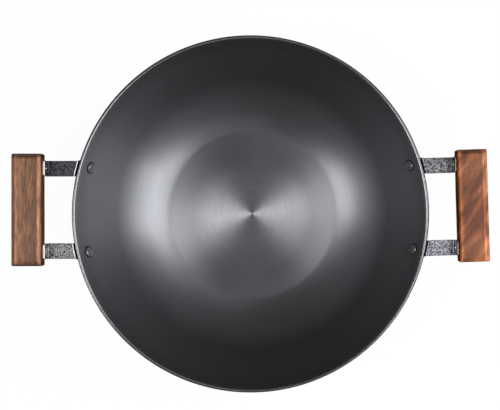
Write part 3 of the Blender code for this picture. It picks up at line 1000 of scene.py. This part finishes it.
class WOK_OT_grips(bpy.types.Operator):
    """Shapes the two wooden grips: chamfers, sanding and the screws' pilot holes"""

    bl_idname = "wok.grips"
    bl_label = "Grips"
    bl_options = {"REGISTER", "UNDO"}

    def execute(self, context):
        sizes = context.scene.wok_grip
        turns = {"left": 0.0, "right": right_turn()}
        crests = {"left": (sizes.crest, sizes.crest_soft), "right": (sizes.crest, sizes.crest)}
        chamfers = {
            "left": (sizes.left_outer, sizes.left_inner), "right": (sizes.right_inner, sizes.right_outer),
        }
        woods = {
            "left": {
                "tones": (sizes.plain_dark, sizes.plain_mid, sizes.plain_light), "tint": sizes.plain_tint,
                "turn": (0, 0, 0), "stretch": 9, "band": 0.0022, "wander": 0.0022, "finest": 3.0,
                "pit": 0.62,
            },
            "right": {
                "tones": (sizes.figured_dark, sizes.figured_mid, sizes.figured_light),
                "tint": sizes.figured_tint, "turn": (0.2, 0, math.radians(-35)), "stretch": 7,
                "band": 0.010, "wander": 0.004, "finest": 1.0, "pit": 0.82,
            },
        }
        sanding = bpy.data.textures.new("sanding", "CLOUDS")
        sanding.noise_scale = SANDING_SPACING
        bore = screw_profile(context.scene.wok_screw, DRILL_RISE, PILOT_GAP)
        drill = spun("pilot_drill", bore, SCREW_STEPS)
        screws = screw_matrices()
        for side in SIDES:
            grip = chamfered_block(GRIP_SIZE, sizes, chamfers[side], crests[side])
            grip.name = grip.data.name = "wooden_grip_" + side
            slice_block(grip, GRIP_SIZE, sizes.face_step)
            centre = sum(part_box("grip_" + side), Vector()) / 2
            bake_place(grip, Matrix.Translation(centre) @ Matrix.Rotation(turns[side], 4, "Z"))
            dent(grip, sanding, sizes.unevenness)
            for end in ENDS:
                hole = copy_of(drill, "hole")
                bake_place(hole, screws[side + "_" + end])
                cut(grip, hole)
                remove(hole)
            shade(grip, 30)
            wood = {"square": turns[side], "centre": centre, **woods[side], **GRIP_PAINTED_LIGHT[side]}
            finish_piece(
                grip, "grip_" + side, "grip_wood",
                oiled_wood("acacia_oiled_top_" + side, 0.2, **wood),
                oiled_wood("acacia_oiled_side_" + side, 0.0, **wood),
            )
            for face in grip.data.polygons:
                if face.normal.z < UPWARD:
                    face.material_index = 1
        remove(drill)
        return {"FINISHED"}


def right_turn():
    """How far the right handle is turned, from the line between its two screws."""
    front, rear = (node_middle("screw_right_" + end) for end in ENDS)
    run = rear - front
    return math.atan2(-run.x, run.y)


def screw_profile(sizes, top, around):
    """From the top on the axis down to the point, with this much added all round."""
    taper = sizes.head_edge + sizes.head_radius - sizes.shank_radius
    return [
        (0, top),
        (sizes.head_radius + around, top),
        (sizes.head_radius + around, -sizes.head_edge),
        (sizes.shank_radius + around, -taper),
        (sizes.shank_radius + around, sizes.point - sizes.reach),
        (0, -sizes.reach - around),
    ]


def dome(radius, height):
    """A shallow cap from its top on the axis down to its edge at height 0."""
    ball = (radius**2 + height**2) / (2 * height)
    half = math.asin(radius / ball)
    points = arc((0, height - ball), ball, math.pi / 2, math.pi / 2 - half, DOME_STEPS)
    return [(0, height)] + points[1:]


def rivet_profile(stack, sizes):
    """From the head's top on the axis down its dome, shank through the stacked sheets and formed tail."""
    seat = sizes.clearance
    brim = seat + sizes.edge
    tail = -stack - 2 * sizes.clearance
    flat = sizes.head_radius - sizes.collar - sizes.shoulder
    fall = sizes.head_height - sizes.crown - sizes.edge
    profile = [(radius, brim + fall + rise) for radius, rise in dome(flat, sizes.crown)]
    for step in range(1, DOME_STEPS + 1):
        turn = math.pi / 2 * (1 - step / DOME_STEPS)
        profile.append((flat + sizes.shoulder * math.cos(turn), brim + fall * math.sin(turn)))
    profile += [(sizes.head_radius, brim), (sizes.head_radius, seat), (sizes.shank_radius, seat)]
    profile += [(sizes.shank_radius, tail), (sizes.tail_radius, tail)]
    tail_dome = dome(sizes.tail_radius, sizes.tail_height - sizes.edge)
    profile += [(radius, tail - sizes.edge - rise) for radius, rise in reversed(tail_dome)]
    return profile


class WOK_OT_rivets(bpy.types.Operator):
    """Heads one rivet and sets a copy at each strap"""

    bl_idname = "wok.rivets"
    bl_label = "Rivets"
    bl_options = {"REGISTER", "UNDO"}

    def execute(self, context):
        sizes = context.scene.wok_rivet
        bowl = context.scene.wok_bowl
        stack = bowl.gauge + context.scene.wok_strap.gauge
        rivet = spun("rivet", rivet_profile(stack, sizes), RIVET_STEPS)
        look, foot = anodised_rivet(sizes), rivet_seat_shade(sizes)
        seat_shade_from = sizes.head_radius - SEAT_SHADED * sizes.collar
        for corner, matrix in rivet_matrices(bowl, sizes).items():
            piece = copy_of(rivet, "domed_rivet_" + corner)
            bake_place(piece, matrix)
            shade(piece, 35)
            finish_piece(piece, "rivet_" + corner, "anodised_rivet", look, foot)
            own = matrix.inverted()
            for face in piece.data.polygons:
                middle = own @ face.center
                if math.hypot(middle.x, middle.y) > seat_shade_from:
                    face.material_index = 1
        remove(rivet)
        return {"FINISHED"}


def cross_cutter(sizes):
    """Two crossed slots, drawn in towards the bottom."""
    slots = []
    for turn in (0, math.pi / 2):
        deselect()
        bpy.ops.mesh.primitive_cube_add(size=1, location=(0, 0, 0))
        slot = bpy.context.object
        with editing(slot):
            bpy.ops.transform.resize(value=(sizes.drive_reach, sizes.drive_width, 2 * sizes.drive_depth))
            shape = bmesh.from_edit_mesh(slot.data)
            for point in shape.verts:
                point.select_set(point.co.z < 0)
            shape.select_flush(True)
            bmesh.update_edit_mesh(slot.data)
            bpy.ops.transform.resize(value=(0.5, 0.5, 1))
        bake_place(slot, Matrix.Rotation(turn, 4, "Z"))
        slots.append(slot)
    apply_modifier(slots[0], "BOOLEAN", {"operation": "UNION", "solver": "EXACT", "object": slots[1]})
    remove(slots[1])
    return slots[0]


class WOK_OT_screws(bpy.types.Operator):
    """Turns one countersunk wood screw and sets a copy at each strap"""

    bl_idname = "wok.screws"
    bl_label = "Screws"
    bl_options = {"REGISTER", "UNDO"}

    def execute(self, context):
        sizes = context.scene.wok_screw
        screw = spun("screw", screw_profile(sizes, 0, 0), SCREW_STEPS)
        recess = cross_cutter(sizes)
        cut(screw, recess)
        remove(recess)
        look = zinc_plated_steel(sizes)
        for corner, matrix in screw_matrices().items():
            piece = copy_of(screw, "wood_screw_" + corner)
            bake_place(piece, matrix)
            shade(piece, 35)
            finish_piece(piece, "screw_" + corner, "screw_steel", look)
        remove(screw)
        return {"FINISHED"}


def look_at(place, aim, upright):
    """Turns -Z towards the aim with +Y as near as it gets to the upright direction."""
    forward = (Vector(aim) - Vector(place)).normalized()
    right = forward.cross(Vector(upright)).normalized()
    return Matrix((right, right.cross(forward), -forward)).transposed().to_euler()


def add_softbox(name, sizes, away, bearing, width, height, power):
    """A soft rectangular lamp, this far from straight above and on this bearing from +X."""
    reach = sizes.lamp_distance
    place = Vector((
        reach * math.sin(away) * math.cos(bearing),
        reach * math.sin(away) * math.sin(bearing),
        reach * math.cos(away),
    ))
    deselect()
    bpy.ops.object.light_add(type="AREA", location=place, rotation=look_at(place, (0, 0, 0), (0, 0, 1)))
    lamp = bpy.context.object
    lamp.name = lamp.data.name = name
    lamp.data.shape = "RECTANGLE"
    lamp.data.size = 2 * reach * math.tan(width / 2)
    lamp.data.size_y = 2 * reach * math.tan(height / 2)
    lamp.data.energy = power
    lamp.visible_camera = False


class WOK_OT_stage(bpy.types.Operator):
    """Sets the camera, the four soft lamps, the room and the white floor"""

    bl_idname = "wok.stage"
    bl_label = "Stage"
    bl_options = {"REGISTER", "UNDO"}

    def execute(self, context):
        sizes = context.scene.wok_stage
        deselect()
        bpy.ops.object.camera_add(location=sizes.camera_place, rotation=(0, 0, 0))
        camera = context.object
        camera.name = "camera"
        camera.data.lens = sizes.lens
        camera.data.sensor_width = SENSOR_WIDTH
        camera.data.shift_x, camera.data.shift_y = sizes.camera_shift
        context.scene.camera = camera
        # In degrees: how far from straight above, on which bearing, and how wide and high
        for name, away, bearing, width, height, watts in (
            ("lamp_right", 30, -8, 34, 30, sizes.right_power),
            ("lamp_low", 60, -8, 34, 10, sizes.low_power),
            ("lamp_broad", 28.7, -7.1, 61.6, 63.0, sizes.broad_power),
            ("lamp_left", 28, 192.5, 18, 30, sizes.left_power),
        ):
            add_softbox(name, sizes, *map(math.radians, (away, bearing, width, height)), watts)
        context.scene.world = white_background(sizes)
        deselect()
        bpy.ops.mesh.primitive_circle_add(
            vertices=FLOOR_STEPS, radius=FLOOR_RADIUS, fill_type="NGON", location=(0, 0, -FLOOR_DROP)
        )
        floor = context.object
        floor.name = "floor"
        bpy.ops.object.transform_apply(location=True, rotation=True, scale=True)
        floor.data.materials.append(white_floor(sizes))
        context.scene.view_settings.view_transform = "Standard"
        return {"FINISHED"}


class WOK_PT_panel(bpy.types.Panel):
    """The wok's sizes and colours, with a button for each group of pieces"""

    bl_label = "Wok"
    bl_space_type = "VIEW_3D"
    bl_region_type = "UI"
    bl_category = "Wok"

    def draw(self, context):
        for name, settings, operator in PARTS:
            box = self.layout.box()
            values = getattr(context.scene, name)
            for key in settings.__annotations__:
                box.prop(values, key)
            box.operator(operator.bl_idname)


PARTS = (
    ("wok_bowl", BowlSettings, WOK_OT_bowl),
    ("wok_strap", StrapSettings, WOK_OT_straps),
    ("wok_grip", GripSettings, WOK_OT_grips),
    ("wok_rivet", RivetSettings, WOK_OT_rivets),
    ("wok_screw", ScrewSettings, WOK_OT_screws),
    ("wok_stage", StageSettings, WOK_OT_stage),
)
CLASSES = (*(item for part in PARTS for item in part[1:]), WOK_PT_panel)


def register():
    """Adds the classes, and the settings to the scene."""
    for item in CLASSES:
        bpy.utils.register_class(item)
    for name, settings, operator in PARTS:
        setattr(bpy.types.Scene, name, bpy.props.PointerProperty(type=settings))


def unregister():
    """Takes the settings and the classes out again."""
    for name, settings, operator in PARTS:
        delattr(bpy.types.Scene, name)
    for item in reversed(CLASSES):
        bpy.utils.unregister_class(item)


def main():
    """Makes every piece and the stage."""
    register()
    bpy.ops.wok.bowl()
    bpy.ops.wok.straps()
    bpy.ops.wok.grips()
    bpy.ops.wok.rivets()
    bpy.ops.wok.screws()
    bpy.ops.wok.stage()


if __name__ == "__main__":
    main()
